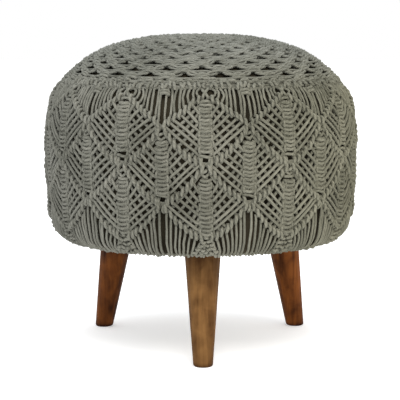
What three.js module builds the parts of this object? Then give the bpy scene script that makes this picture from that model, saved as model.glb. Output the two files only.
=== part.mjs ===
// Round padded footstool in a knotted cord cover, on three splayed wooden legs.
// Millimetres, +Z up. The origin is on the floor under the drum's centre, and -Y is the front.
// A place on the cover is given by its degrees around, from the front towards +X, and by its run,
// the distance along the cover from its lower edge, up the side and over to the crown's centre.
// A rise is a distance out from the face of the cover that lies on the padding.

import * as THREE from "three";

// Drum: the outer face of the cover, from under the rim, up the side and over the crown.
const OUTLINE = [
  // radius, height
  [161, 144.5],
  [186, 146.8],
  [199, 155],
  [205, 174],
  [208.5, 215],
  [210, 265],
  [208.5, 307],
  [198, 342],
  [172.5, 373.5],
  [131, 400],
  [69, 415],
  [0, 418],
];
const WIDEST_HEIGHT = 265;
const COVER_DEPTH = 6;
const CLEARANCE = 0.3;
const CORE_SEGMENTS = 54;
const CORE_STEPS = 13;
const BASE_HEIGHT = 151;

// Cords are four-sided, with a crest, an underside and two edges.
const UNDERSIDE_RISE = 1;
const EDGE_RISE = 3;
const WEB_RISES = { low: 1.7, high: 3.5 };

// Side band: three staggered rows of diamonds, with corners at these heights.
const REPEATS = 12;
const PATTERN_TURN = 1.7;
const HALF_PITCH = 180 / REPEATS;
const CORNER_HEIGHTS = [350, 309.5, 264, 217, 170];
const DIAMOND_ROWS = 3;
const EDGE_CORD = { half: 3, crest: 5.3 };

// Inside a diamond: cords slant down from both upper edges into a column of square knots.
const SLANT_SHARES = [0.26, 0.62];
const SLANT_CORD = { half: 2.7, crest: 5 };
const COLUMN_RIDGE = { half: 8.5, crest: 6 };
const COLUMN_WAIST = { half: 5, crest: 4.5 };
const RIDGES_BETWEEN = 2;

// Upright cords join the diamonds to the top bar above, and to the hem under the rim.
const UPRIGHT_CORD = { half: 2.6, crest: 5.2 };
const TOP_UPRIGHT_STEP = 16;
const RIM_STATIONS = [186, 162, 150];
const RIM_STATION_DROP = 6;
const HEM_RADIUS = 183;
const BAR = { half: 3, crest: 5.8 };

// Top panel: rings of cord joined by broad spokes, staggered from ring to ring. The inner rings are webbed.
const PANEL_GAP = 0.6;
const PANEL_RINGS = [
  // radius, spokes that lead in to it, their turn as a share of their pitch
  [172, 24, 0],
  [157, 24, 0.5],
  [143, 24, 0],
  [129, 24, 0.5],
  [90, 12, 0.25],
  [45, 12, 0.25],
];
const PANEL_OPEN_RADIUS = 128;
const PANEL_RIM_KNOTS = 48;
const PANEL_BAR = { half: 3.2, crest: 5.6 };
const PANEL_SPOKE_SHARE = 0.062;
const PANEL_RIB_HALF = 3.4;

// Legs: round and tapered, standing on flat feet.
const LEG_NAMES = ["leg_front", "leg_right", "leg_left"];
const LEG_TURN = 1.1;
const FOOT_CIRCLE = 159;
const LEG_SPLAY = 10;
const FOOT_RADIUS = 12.7;
const FOOT_EDGE = 1.5;
const LEG_TOP_RADIUS = 24;
const SEAT_GAP = 0.3;
const LEG_SEGMENTS = 20;

const SEARCH_ROUNDS = 40;
const STRAIGHT_SINE = 0.12;
const RADIAN = Math.PI / 180;

const outline = new THREE.CatmullRomCurve3(
  OUTLINE.map(([radius, height]) => new THREE.Vector3(radius, 0, height)),
  false,
  "centripetal",
);
const RUN_LENGTH = outline.getLength();

// The run at which a test first turns true, found by halving.
function findRun(isPast) {
  let low = 0;
  let high = RUN_LENGTH;
  for (let round = 0; round < SEARCH_ROUNDS; round += 1) {
    const middle = (low + high) / 2;
    if (isPast(outline.getPointAt(middle / RUN_LENGTH))) {
      high = middle;
    } else {
      low = middle;
    }
  }
  return low;
}

const runAtHeight = (height) => findRun((point) => point.z > height);
const runOnCrown = (radius) => findRun((point) => point.z > WIDEST_HEIGHT && point.x < radius);
const runUnderRim = (radius) => findRun((point) => point.z > WIDEST_HEIGHT || point.x > radius);

// Radius and height of the point at a run and a rise.
function acrossCover(run, rise) {
  const share = THREE.MathUtils.clamp(run / RUN_LENGTH, 0, 1);
  const point = outline.getPointAt(share);
  const along = outline.getTangentAt(share);
  const outward = new THREE.Vector2(along.z, -along.x);
  return new THREE.Vector2(point.x, point.z).addScaledVector(outward, rise - COVER_DEPTH);
}

// Nets of cords

// A net is a list of knots. Each knot has its place, its crest and the ends of the cords that meet there.
function addKnot(net, degrees, run, crest) {
  const radius = acrossCover(run, 0).x;
  net.push({ degrees, run, crest, radius, ends: [] });
  return net.length - 1;
}

function addCord(net, from, to, halfFrom, halfTo = halfFrom) {
  net[from].ends.push({ to, half: halfFrom });
  net[to].ends.push({ to: from, half: halfTo });
}

// A chain of new knots between two knots. Each step's share of the way gives its crest and half width.
function addChain(net, from, to, steps, cordAt) {
  const start = net[from];
  const turn = shortestTurn(start.degrees, net[to].degrees);
  const climb = net[to].run - start.run;
  let last = from;
  for (let step = 1; step <= steps; step += 1) {
    const share = step / steps;
    const here = cordAt(share);
    const next = step < steps
      ? addKnot(net, start.degrees + turn * share, start.run + climb * share, here.crest)
      : to;
    addCord(net, last, next, cordAt((step - 1) / steps).half, here.half);
    last = next;
  }
}

const shortestTurn = (from, to) => THREE.MathUtils.euclideanModulo(to - from + 180, 360) - 180;

// The corner between two neighbouring cords at a knot, where their edges cross.
function cornerBetween(one, next) {
  const sine = one.way.cross(next.way);
  if (Math.abs(sine) < STRAIGHT_SINE) {
    return new THREE.Vector2(-one.way.y, one.way.x).multiplyScalar((one.half + next.half) / 2);
  }
  return one.way.clone().multiplyScalar(next.half).addScaledVector(next.way, one.half).divideScalar(sine);
}

// Sorts a knot's cords round it and works out the corners between them.
function settleKnot(net, knot) {
  for (const end of knot.ends) {
    const other = net[end.to];
    const sideways = shortestTurn(knot.degrees, other.degrees) * RADIAN * knot.radius;
    end.way = new THREE.Vector2(sideways, other.run - knot.run).normalize();
  }
  knot.ends.sort((one, next) => one.way.angle() - next.way.angle());
  knot.corners = knot.ends.map((end, i) => {
    const offset = cornerBetween(end, knot.ends[(i + 1) % knot.ends.length]);
    return { degrees: knot.degrees + offset.x / knot.radius / RADIAN, run: knot.run + offset.y };
  });
}

const before = (list, i) => (i + list.length - 1) % list.length;

// The corners round each opening of the net, with the knots that they belong to.
function findOpenings(net) {
  const openings = [];
  const seen = new Set();
  net.forEach((start, startIndex) => {
    start.ends.forEach((_, startEnd) => {
      const loop = [];
      let knotIndex = startIndex;
      let endIndex = startEnd;
      while (!seen.has(`${knotIndex} ${endIndex}`)) {
        seen.add(`${knotIndex} ${endIndex}`);
        const knot = net[knotIndex];
        loop.push({ knot, corner: knot.corners[endIndex] });
        const nextIndex = knot.ends[endIndex].to;
        const back = net[nextIndex].ends.findIndex((end) => end.to === knotIndex);
        endIndex = before(net[nextIndex].ends, back);
        knotIndex = nextIndex;
      }
      if (loop.length > 0) {
        openings.push(loop);
      }
    });
  });
  return openings;
}

// Triangles between the left and the right side of an opening, from its lowest corner up to its highest.
function ladder(corners) {
  const runs = corners.map((corner) => corner.run);
  const lowest = runs.indexOf(Math.min(...runs));
  const inTurn = [...corners.slice(lowest), ...corners.slice(0, lowest + 1)];
  const highest = inTurn.findIndex((corner) => corner.run === Math.max(...runs));
  const right = inTurn.slice(0, highest + 1);
  const left = inTurn.slice(highest).reverse();
  const triangles = [];
  while (left.length + right.length > 2) {
    const isLeftNext = right.length === 1 || (left.length > 1 && left[1].run < right[1].run);
    const rung = isLeftNext ? left : right;
    const triangle = [left[0], right[0], rung[1]];
    if (new Set(triangle).size === 3) {
      triangles.push(triangle);
    }
    rung.shift();
  }
  return triangles;
}

// The solid of a net. An opening that isWeb picks is filled with a thin web, and one that isCrown
// picks is closed over at the drum's axis.
function netGeometry(net, isWeb, isCrown) {
  const points = [];
  const faces = [];
  const addPoint = (degrees, run, rise) => {
    const place = acrossCover(run, rise);
    const turn = degrees * RADIAN;
    points.push(new THREE.Vector3(place.x * Math.sin(turn), -place.x * Math.cos(turn), place.y));
    return points.length - 1;
  };
  // Splits a four-cornered face so that both halves face the same way.
  const addFace = (a, b, c, d) => {
    const fold = (p, q, r, s) => {
      const first = normalOf(points[p], points[q], points[r]);
      const second = normalOf(points[p], points[r], points[s]);
      return first.dot(second);
    };
    if (fold(a, b, c, d) >= fold(b, c, d, a)) {
      faces.push([a, b, c], [a, c, d]);
    } else {
      faces.push([b, c, d], [b, d, a]);
    }
  };

  net.forEach((knot) => settleKnot(net, knot));
  for (const knot of net) {
    knot.upper = addPoint(knot.degrees, knot.run, knot.crest);
    knot.lower = addPoint(knot.degrees, knot.run, UNDERSIDE_RISE);
  }
  for (const loop of findOpenings(net)) {
    const isFilled = isWeb(loop) || isCrown(loop);
    for (const { corner } of loop) {
      corner.upper = addPoint(corner.degrees, corner.run, isFilled ? WEB_RISES.high : EDGE_RISE);
      corner.lower = isFilled ? addPoint(corner.degrees, corner.run, WEB_RISES.low) : corner.upper;
    }
    if (isCrown(loop)) {
      const top = addPoint(0, RUN_LENGTH, WEB_RISES.high);
      const bottom = addPoint(0, RUN_LENGTH, WEB_RISES.low);
      points[top].setX(0).setY(0);
      points[bottom].setX(0).setY(0);
      loop.forEach(({ corner }, i) => {
        const next = loop[(i + 1) % loop.length].corner;
        faces.push([top, corner.upper, next.upper], [bottom, next.lower, corner.lower]);
      });
    } else if (isFilled) {
      for (const [a, b, c] of ladder(loop.map(({ corner }) => corner))) {
        faces.push([a.upper, b.upper, c.upper], [a.lower, c.lower, b.lower]);
      }
    }
  }
  net.forEach((knot, knotIndex) => {
    knot.ends.forEach((end, i) => {
      if (end.to < knotIndex) {
        return;
      }
      const other = net[end.to];
      const back = other.ends.findIndex((candidate) => candidate.to === knotIndex);
      const left = [knot.corners[i], other.corners[before(other.ends, back)]];
      const right = [knot.corners[before(knot.ends, i)], other.corners[back]];
      addFace(knot.upper, other.upper, left[1].upper, left[0].upper);
      addFace(knot.upper, right[0].upper, right[1].upper, other.upper);
      addFace(knot.lower, left[0].lower, left[1].lower, other.lower);
      addFace(knot.lower, other.lower, right[1].lower, right[0].lower);
    });
  });
  const geometry = new THREE.BufferGeometry().setFromPoints(points);
  geometry.setIndex(faces.flat());
  return geometry;
}

function normalOf(a, b, c) {
  const one = b.clone().sub(a);
  return one.cross(c.clone().sub(a)).normalize();
}

// Side band

const cornerRuns = CORNER_HEIGHTS.map(runAtHeight);
const columnDegrees = (level, column) => PATTERN_TURN + HALF_PITCH * (2 * column + (level % 2));

// The column on the next level that lies to one side.
function neighbour(level, column, side) {
  const halfSteps = 2 * column + (level % 2) + side;
  return ((halfSteps - ((level + 1) % 2)) / 2 + REPEATS) % REPEATS;
}

// A diamond edge: its upper corner, the knots on it and its lower corner, in order.
function addDiamondEdge(net, corners, level, column, side) {
  const from = corners[level][column];
  const to = corners[level + 1][neighbour(level, column, side)];
  const on = SLANT_SHARES.map((share) => addKnot(
    net,
    columnDegrees(level, column) + side * share * HALF_PITCH,
    THREE.MathUtils.lerp(cornerRuns[level], cornerRuns[level + 1], share),
    EDGE_CORD.crest,
  ));
  const all = [from, ...on, to];
  for (let i = 0; i + 1 < all.length; i += 1) {
    addCord(net, all[i], all[i + 1], EDGE_CORD.half);
  }
  return on;
}

// A knotted column and the cords that slant into it, in the diamond below a corner.
function addDiamondFilling(net, corners, edges, row, column) {
  const degrees = columnDegrees(row, column);
  const [top, bottom] = [cornerRuns[row], cornerRuns[row + 2]];
  const meeting = SLANT_SHARES.map((share, i) => {
    const knot = addKnot(net, degrees, THREE.MathUtils.lerp(top, bottom, share), COLUMN_WAIST.crest);
    for (const side of [0, 1]) {
      addCord(net, edges[row][column][side][i], knot, SLANT_CORD.half);
    }
    return knot;
  });
  meeting.push(corners[row + 2][column]);
  const steps = 2 * RIDGES_BETWEEN;
  for (let i = 0; i + 1 < meeting.length; i += 1) {
    addChain(net, meeting[i], meeting[i + 1], steps, (share) => {
      return Math.round(share * steps) % 2 === 1 ? COLUMN_RIDGE : COLUMN_WAIST;
    });
  }
}

// A ring of cords through knots that lie at one run, in order round the drum.
function closeRing(net, knots, half) {
  const inOrder = [...knots].sort((one, next) => net[one].degrees - net[next].degrees);
  inOrder.forEach((knot, i) => addCord(net, knot, inOrder[(i + 1) % inOrder.length], half));
}

function sideBand() {
  const net = [];
  const corners = cornerRuns.map((run, level) => {
    const crest = level === 0 ? BAR.crest : EDGE_CORD.crest;
    const columns = Array.from({ length: REPEATS }, (_, column) => columnDegrees(level, column));
    return columns.map((degrees) => addKnot(net, degrees, run, crest));
  });
  const edges = cornerRuns.slice(1).map((_, level) => {
    return corners[level].map((_corner, column) => {
      return [-1, 1].map((side) => addDiamondEdge(net, corners, level, column, side));
    });
  });
  for (let row = 0; row < DIAMOND_ROWS; row += 1) {
    for (let column = 0; column < REPEATS; column += 1) {
      addDiamondFilling(net, corners, edges, row, column);
    }
  }

  const topBar = [...corners[0]];
  for (const foot of [...edges[0].flat(2), ...corners[1]]) {
    const head = addKnot(net, net[foot].degrees, cornerRuns[0], BAR.crest);
    const steps = Math.ceil((cornerRuns[0] - net[foot].run) / TOP_UPRIGHT_STEP);
    addChain(net, foot, head, steps, () => UPRIGHT_CORD);
    topBar.push(head);
  }
  closeRing(net, topBar, BAR.half);

  const hem = [];
  const lastLevel = corners.length - 1;
  for (const head of [...corners[lastLevel], ...edges[lastLevel - 1].flat(2), ...corners[lastLevel - 1]]) {
    let last = head;
    const stationRuns = RIM_STATIONS.map(runAtHeight);
    for (const run of stationRuns.filter((station) => station < net[head].run - RIM_STATION_DROP)) {
      const next = addKnot(net, net[head].degrees, run, UPRIGHT_CORD.crest);
      addCord(net, last, next, UPRIGHT_CORD.half);
      last = next;
    }
    const foot = addKnot(net, net[head].degrees, runUnderRim(HEM_RADIUS), BAR.crest);
    addCord(net, last, foot, UPRIGHT_CORD.half);
    hem.push(foot);
  }
  closeRing(net, hem, BAR.half);

  const bars = new Set([...topBar, ...hem].map((index) => net[index]));
  const isWeb = (loop) => loop.some(({ knot }) => bars.has(knot)) && loop.some(({ knot }) => !bars.has(knot));
  return netGeometry(net, isWeb, () => false);
}

// Top panel

const spread = (count, turnShare) => Array.from({ length: count }, (_, i) => (360 / count) * (i + turnShare));

function topPanel() {
  const net = [];
  const rimRun = cornerRuns[0] + BAR.half + PANEL_GAP + PANEL_BAR.half;
  const runs = [rimRun, ...PANEL_RINGS.map(([radius]) => runOnCrown(radius))];
  const spokes = PANEL_RINGS.map(([, count, turnShare]) => spread(count, turnShare));
  const leadsIn = [spread(PANEL_RIM_KNOTS, 0), ...spokes];
  const rings = runs.map((run, level) => {
    const places = new Set([...leadsIn[level], ...(leadsIn[level + 1] ?? [])]);
    const knotAt = new Map();
    for (const degrees of places) {
      knotAt.set(degrees, addKnot(net, PATTERN_TURN + degrees, run, PANEL_BAR.crest));
    }
    closeRing(net, [...knotAt.values()], PANEL_BAR.half);
    return knotAt;
  });
  PANEL_RINGS.forEach(([radius], i) => {
    const half = radius > PANEL_OPEN_RADIUS ? radius * PANEL_SPOKE_SHARE : PANEL_RIB_HALF;
    for (const degrees of leadsIn[i + 1]) {
      addCord(net, rings[i].get(degrees), rings[i + 1].get(degrees), half);
    }
  });
  const innermost = new Set([...rings.at(-1).values()].map((index) => net[index]));
  const isCrown = (loop) => loop.every(({ knot }) => innermost.has(knot));
  const openRun = runOnCrown(PANEL_OPEN_RADIUS);
  const isWeb = (loop) => loop.some(({ knot }) => knot.run > openRun) && !isCrown(loop);
  return netGeometry(net, isWeb, isCrown);
}

// Padded core and legs

// Turns a lathe's +Y axis to +Z, with its first step at the front.
const standUp = (geometry) => geometry.rotateX(Math.PI / 2);

function paddedCore() {
  const profile = [new THREE.Vector2(0, BASE_HEIGHT)];
  for (let step = 0; step <= CORE_STEPS; step += 1) {
    const place = acrossCover((RUN_LENGTH * step) / CORE_STEPS, -CLEARANCE);
    place.y = Math.max(place.y, BASE_HEIGHT);
    profile.push(place);
  }
  profile[profile.length - 1].x = 0;
  return standUp(new THREE.LatheGeometry(profile, CORE_SEGMENTS));
}

function leg() {
  const height = BASE_HEIGHT - SEAT_GAP;
  const profile = [
    new THREE.Vector2(0, 0),
    new THREE.Vector2(FOOT_RADIUS - FOOT_EDGE, 0),
    new THREE.Vector2(FOOT_RADIUS, FOOT_EDGE),
    new THREE.Vector2(LEG_TOP_RADIUS, height),
    new THREE.Vector2(0, height),
  ];
  const geometry = standUp(new THREE.LatheGeometry(profile, LEG_SEGMENTS));
  const lean = Math.tan(LEG_SPLAY * RADIAN);
  const splay = new THREE.Matrix4().set(1, 0, 0, 0, 0, 1, lean, -FOOT_CIRCLE, 0, 0, 1, 0, 0, 0, 0, 1);
  return geometry.applyMatrix4(splay);
}

// The whole stool

const looks = {
  cord: { color: 0x8d9083, roughness: 0.95, metalness: 0 },
  inner_cloth: { color: 0x2e2c22, roughness: 1, metalness: 0 },
  wood: { color: 0x84572f, roughness: 0.55, metalness: 0 },
};

function piece(name, geometry, look) {
  const mesh = new THREE.Mesh(geometry, new THREE.MeshStandardMaterial(looks[look]));
  mesh.name = name;
  return mesh;
}

const stool = new THREE.Group();
stool.add(piece("padded_core", paddedCore(), "inner_cloth"));
stool.add(piece("side_band", sideBand(), "cord"));
stool.add(piece("top_panel", topPanel(), "cord"));
LEG_NAMES.forEach((name, i) => {
  const mesh = piece(name, leg(), "wood");
  mesh.rotation.z = (LEG_TURN + (360 / LEG_NAMES.length) * i) * RADIAN;
  stool.add(mesh);
});

export default stool;
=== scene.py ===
# %% [markdown]
# # A footstool in a knotted cord cover
# This lesson dresses a plain model of a round footstool. The plain model gives the sizes: a padded drum,
# two nets that stand for the cover, and three wooden legs. Here the nets are replaced by real strands of
# cotton cord, tied in rows of diamonds round the side and in a round net over the top. Sizes on the cover
# are in millimetres. The camera, the floor and the lamps are in metres, as Blender has them.

# %% Load the frame
import math

import bmesh
import bpy
import numpy as np
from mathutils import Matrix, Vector


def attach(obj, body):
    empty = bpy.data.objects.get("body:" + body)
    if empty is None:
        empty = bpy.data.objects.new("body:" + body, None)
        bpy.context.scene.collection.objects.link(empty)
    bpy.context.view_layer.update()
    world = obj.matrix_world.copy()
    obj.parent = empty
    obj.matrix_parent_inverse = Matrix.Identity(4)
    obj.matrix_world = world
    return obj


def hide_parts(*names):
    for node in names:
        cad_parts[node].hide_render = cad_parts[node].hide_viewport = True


MM = 0.001
SEED = 12

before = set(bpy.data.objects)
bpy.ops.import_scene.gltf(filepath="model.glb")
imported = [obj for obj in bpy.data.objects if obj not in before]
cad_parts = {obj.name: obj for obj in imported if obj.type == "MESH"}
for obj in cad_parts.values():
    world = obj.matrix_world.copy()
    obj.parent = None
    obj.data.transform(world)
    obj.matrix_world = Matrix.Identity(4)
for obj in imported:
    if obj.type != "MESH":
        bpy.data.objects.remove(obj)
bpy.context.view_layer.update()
rng = np.random.default_rng(SEED)
print("nodes:", sorted(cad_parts))

# %% [markdown]
# ## The camera
# The camera stands a little above the seat, well back, with a long lens, so that the drum's top shows as a
# thin ellipse and its sides stay nearly upright. It is placed first, because every choice of detail after
# it depends on how large a cord looks from there.

# %% Camera
CAMERA_DISTANCE = 1.9005
CAMERA_HEIGHT = 0.4437
CAMERA_DIP = 7.44
CAMERA_LENS = 125.8
CAMERA_SHIFT = (-0.00175, -0.00575)

camera = bpy.data.objects.new("camera", bpy.data.cameras.new("camera"))
camera.data.lens = CAMERA_LENS
camera.data.shift_x, camera.data.shift_y = CAMERA_SHIFT
camera.location = (0, -CAMERA_DISTANCE, CAMERA_HEIGHT)
camera.rotation_euler = (math.radians(90 - CAMERA_DIP), 0, 0)
bpy.context.scene.collection.objects.link(camera)
bpy.context.scene.camera = camera
print("camera:", CAMERA_LENS, "mm lens,", CAMERA_DISTANCE, "m in front")

# %% [markdown]
# ## Smooth lines
# Cords bend smoothly, but a list of many points is hard to read. So each line is given by a few points, and
# a smooth curve is drawn through them. The curve's speed follows the square root of the gaps between the
# points, which keeps it from making loops where two points are close.

# %% Smooth lines
SMALLEST_GAP = 1e-9


def through(points, steps):
    """A smooth line through the points on the last axis but one, with so many steps to each span."""
    points = np.asarray(points, float)
    spans = np.diff(points, axis=-2)
    gaps = np.sqrt(np.linalg.norm(spans, axis=-1, keepdims=True)) + SMALLEST_GAP
    slopes = spans / gaps
    across = (points[..., 2:, :] - points[..., :-2, :]) / (gaps[..., :-1, :] + gaps[..., 1:, :])
    middle = slopes[..., :-1, :] - across + slopes[..., 1:, :]
    tangents = np.concatenate([slopes[..., :1, :], middle, slopes[..., -1:, :]], axis=-2)
    share = np.arange(steps)[:, None] / steps
    line = points[..., :-1, None, :] * (2 * share**3 - 3 * share**2 + 1)
    line = line + points[..., 1:, None, :] * (3 * share**2 - 2 * share**3)
    line = line + tangents[..., :-1, None, :] * gaps[..., None, :] * (share**3 - 2 * share**2 + share)
    line = line + tangents[..., 1:, None, :] * gaps[..., None, :] * (share**3 - share**2)
    flat = line.reshape(*points.shape[:-2], -1, points.shape[-1])
    return np.concatenate([flat, points[..., -1:, :]], axis=-2)


print("a line through 3 points in 4 steps each has", len(through([(0, 0), (1, 1), (2, 0)], 4)), "points")

# %% [markdown]
# ## The drum's outline
# Every cord lies on the padded drum. A place on the cover is given by its degrees round the drum, from the
# front towards +X, by its run, the distance up the cover from its lower edge to the crown's centre, and by
# its rise above the padding. The outline is a smooth curve through a dozen points, sampled finely, so that
# a run can be looked up by height or by radius.

# %% Outline
OUTLINE = [
    # radius and height of the cover's outer face
    (161, 144.5),
    (186, 146.8),
    (199, 155),
    (205, 174),
    (208.5, 215),
    (210, 265),
    (208.5, 307),
    (198, 342),
    (172.5, 373.5),
    (131, 400),
    (69, 415),
    (0, 418),
]
COVER_DEPTH = 6
OUTLINE_STEPS = 40

profile = through(OUTLINE, OUTLINE_STEPS)
runs = np.concatenate([[0], np.cumsum(np.linalg.norm(np.diff(profile, axis=0), axis=1))])
slopes = np.gradient(profile, runs, axis=0)
widest = int(np.argmax(profile[:, 0]))


def run_at_height(height):
    return np.interp(height, profile[:, 1], runs)


def run_on_crown(radius):
    return np.interp(-np.asarray(radius, float), -profile[widest:, 0], runs[widest:])


def run_under_rim(radius):
    return np.interp(radius, profile[: widest + 1, 0], runs[: widest + 1])


def radius_at(run):
    return np.interp(run, runs, profile[:, 0]) - COVER_DEPTH / 2


def on_cover(places):
    """Points in metres from places of degrees, run and rise on the last axis."""
    turn = np.radians(places[..., 0])
    run = places[..., 1]
    out = places[..., 2] - COVER_DEPTH
    outward, upward = (np.interp(run, runs, slopes[:, i]) for i in range(2))
    size = np.hypot(outward, upward)
    radius = np.interp(run, runs, profile[:, 0]) + out * upward / size
    height = np.interp(run, runs, profile[:, 1]) - out * outward / size
    return np.stack([radius * np.sin(turn), -radius * np.cos(turn), height], axis=-1) * MM


print("the cover runs", round(runs[-1]), "mm from its lower edge to the crown's centre")

# %% [markdown]
# ## Drawing a shape once
# Small shapes, such as one bar of a knot, are drawn once as a few points, in millimetres across, up and
# above the padding, and repeated at many places. Each copy is moved a little at random, as a whole and
# point by point, as in work tied by hand. How far is given with each piece as its play, across, up and out.

# %% Places of strands
MM_PER_DEGREE = 3.6
POINT_SHARE = 0.6
THICKNESS_SPREAD = 0.04
# steps of a strand from each of its points to the next
PLAIN = 1
SMOOTH = 2


def around(degrees, run, shape):
    """Places of a small shape, given as (across, up, rise), about many centres."""
    degrees, run = np.broadcast_arrays(np.asarray(degrees, float), np.asarray(run, float))
    shape = np.asarray(shape, float)
    per_degree = radius_at(run)[..., None] * math.radians(1)
    turned = degrees[..., None] + shape[..., 0] / per_degree
    raised = run[..., None] + shape[..., 1]
    return np.stack(np.broadcast_arrays(turned, raised, shape[..., 2] + 0 * turned), axis=-1)


def loosened(places, play):
    """The same places, moved a little at random, both each strand as a whole and each of its points."""
    across, up, out = play
    whole = rng.normal(0, 1, (*places.shape[:-2], 1, 3))
    single = rng.normal(0, POINT_SHARE, places.shape)
    return places + (whole + single) * np.array([across / MM_PER_DEGREE, up, out])


def strands(places, steps, radius):
    """Lines in metres, each with its radius, through places whose last two axes are a strand's points."""
    places = np.asarray(places, float)
    lines = through(on_cover(places.reshape(-1, *places.shape[-2:])), steps)
    return list(zip(lines, radius * rng.normal(1, THICKNESS_SPREAD, len(lines))))


print("one degree is", round(radius_at(runs[widest]) * math.radians(1), 2), "mm at the widest place")

# %% [markdown]
# ## One mesh from many strands
# A strand is a smooth line with a round section. Blender makes that from a curve with a bevel, which gives
# round tubes with closed ends and a UV map that follows each strand. Thousands of strands would be slow as
# single objects, so all strands of one kind go into one curve as splines, which is turned into one mesh.
# The bevel lays the vertices one strand after the other. That makes it easy to store two things on the
# mesh: the UV map is stretched to the strand's real length, so that the twist of the cord has the same
# pitch everywhere, and each strand gets a tone of its own for the colour.

# %% Cord meshes
BEVEL_STEPS = {8: 2, 6: 1}
# each closed end has a ring of vertices of its own
END_RINGS = 2
MIDDLE_TONE = 0.5
TONE_SPREAD = 0.2

pieces = []


def mark_strands(mesh, cords, sides):
    """Stretches the UV map to each strand's length and gives each strand its tone."""
    counts = np.array([(len(line) + END_RINGS) * sides for line, _ in cords])
    assert counts.sum() == len(mesh.vertices), (counts.sum(), len(mesh.vertices))
    lengths = np.array([np.linalg.norm(np.diff(line, axis=0), axis=1).sum() for line, _ in cords])
    strand = np.repeat(np.arange(len(cords)), counts)
    tones = np.clip(rng.normal(MIDDLE_TONE, TONE_SPREAD, len(cords)), 0, 1)
    mesh.attributes.new("tone", "FLOAT", "POINT").data.foreach_set("value", tones[strand])
    corner_vertices = np.zeros(len(mesh.loops), int)
    mesh.loops.foreach_get("vertex_index", corner_vertices)
    layer = mesh.uv_layers[0].data
    uv = np.zeros(len(corner_vertices) * 2)
    layer.foreach_get("uv", uv)
    uv[1::2] *= lengths[strand[corner_vertices]] / MM
    layer.foreach_set("uv", uv)


def lay(name, cords, stands_for, sides=8):
    """One mesh piece from many strands."""
    curve = bpy.data.curves.new(name, "CURVE")
    curve.dimensions = "3D"
    curve.bevel_depth = MM
    curve.bevel_resolution = BEVEL_STEPS[sides]
    curve.use_fill_caps = True
    for line, radius in cords:
        spline = curve.splines.new("POLY")
        spline.points.add(len(line) - 1)
        spline.points.foreach_set("co", np.column_stack([line, np.ones(len(line))]).ravel())
        spline.points.foreach_set("radius", np.full(len(line), float(radius)))
    source = bpy.data.objects.new(name + "_curve", curve)
    bpy.context.scene.collection.objects.link(source)
    bpy.context.view_layer.update()
    mesh = bpy.data.meshes.new_from_object(source.evaluated_get(bpy.context.evaluated_depsgraph_get()))
    bpy.data.objects.remove(source)
    mark_strands(mesh, cords, sides)
    piece = bpy.data.objects.new(name, mesh)
    bpy.context.scene.collection.objects.link(piece)
    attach(piece, "root")
    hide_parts(stands_for)
    pieces.append(piece)
    triangles = sum(len(face.vertices) - 2 for face in mesh.polygons)
    print(f"{name}: {len(cords)} strands, {triangles} triangles")


print("steps of the bevel for each number of sides:", BEVEL_STEPS)

# %% [markdown]
# ## The pattern's corners
# Round the side run three rows of diamonds, twelve to a row, and each row is set half a diamond over from
# the one above it. So all the corners lie on five levels. They are worked out once, with a small random
# shift, and every cord is then hung between them: whatever shares a corner stays joined.

# %% Corners
REPEATS = 12
PATTERN_TURN = 1.7
HALF_PITCH = 180 / REPEATS
CORNER_HEIGHTS = [350, 311, 264, 215.5, 170]
CORNER_TURN_PLAY = 0.25
CORNER_RUN_PLAY = 0.8
SIDES = (-1, 1)

corners = np.zeros((len(CORNER_HEIGHTS), REPEATS, 2))
for level, height in enumerate(CORNER_HEIGHTS):
    half_steps = 2 * np.arange(REPEATS) + level % 2
    turn_shift = rng.normal(0, CORNER_TURN_PLAY, REPEATS)
    run_shift = rng.normal(0, CORNER_RUN_PLAY, REPEATS)
    corners[level, :, 0] = PATTERN_TURN + HALF_PITCH * half_steps + turn_shift
    corners[level, :, 1] = run_at_height(height) + run_shift


def corner(level, column, side=0):
    """Degrees and run of a corner, or of the one on that level to one side of the column above it."""
    half_steps = 2 * column + (level + side) % 2 + side
    index = (half_steps - level % 2) // 2
    degrees, run = corners[level][index % REPEATS]
    return np.array([degrees + 360 * (index // REPEATS), run])


print(corners[..., 0].size, "corners on", len(CORNER_HEIGHTS), "levels")

# %% [markdown]
# ## Edges that bow
# The diamonds look like leaves, because an edge leaves its upper corner steeply and comes in nearly level
# at the lower one. A quarter of a sine wave has that shape. Just below the seam the cords are held, so the
# edges there are almost straight. Eight hitches sit on each edge, at even shares of the way.

# %% Edges of the diamonds
EDGE_BOWS = np.array([0.1, 1.0, 0.85, 0.85])
HITCHES = 8
HITCH_SPANS = [(0.16, 0.93), (0.085, 0.87), (0.085, 0.87), (0.085, 0.87)]
HITCH_SHARES = np.array([np.linspace(first, last, HITCHES) for first, last in HITCH_SPANS])


def on_edge(levels, starts, ends, shares):
    """Places at shares of the way along edges, from their upper to their lower corners."""
    bow = EDGE_BOWS[levels][:, None]
    fall = (1 - bow) * shares + bow * np.sin(shares * math.pi / 2)
    way = np.stack([shares + 0 * fall, fall], axis=-1)
    return starts[:, None] + (ends - starts)[:, None] * way


def edges():
    """Upper corner, lower corner, side and level of each edge, level by level."""
    for level in range(len(CORNER_HEIGHTS) - 1):
        for column in range(REPEATS):
            for side in SIDES:
                yield corner(level, column), corner(level + 1, column, side), side, level


edge_starts, edge_ends, edge_sides, edge_levels = map(np.array, zip(*edges()))
hitches = on_edge(edge_levels, edge_starts, edge_ends, HITCH_SHARES[edge_levels])
print(len(edge_levels), "edges with", hitches[..., 0].size, "hitches")

# %% [markdown]
# ## Half diamonds
# A column of knots runs down the middle of each diamond and halves it. The cords of one half are the mirror
# image of the other's, so they are worked out by halves. A cord inside a half stops at the edge of the
# column. Near the tips, where the diamond is narrower, it stops at a share of the way to its outer end.

# %% Half diamonds
ROWS = 3
FARTHEST_STOP = 0.6
SLANT_WAY = np.array([0, 0.12, 0.5, 0.88, 1])
SLANT_PLAY = (0.55, 0.55, 0.25)


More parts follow.
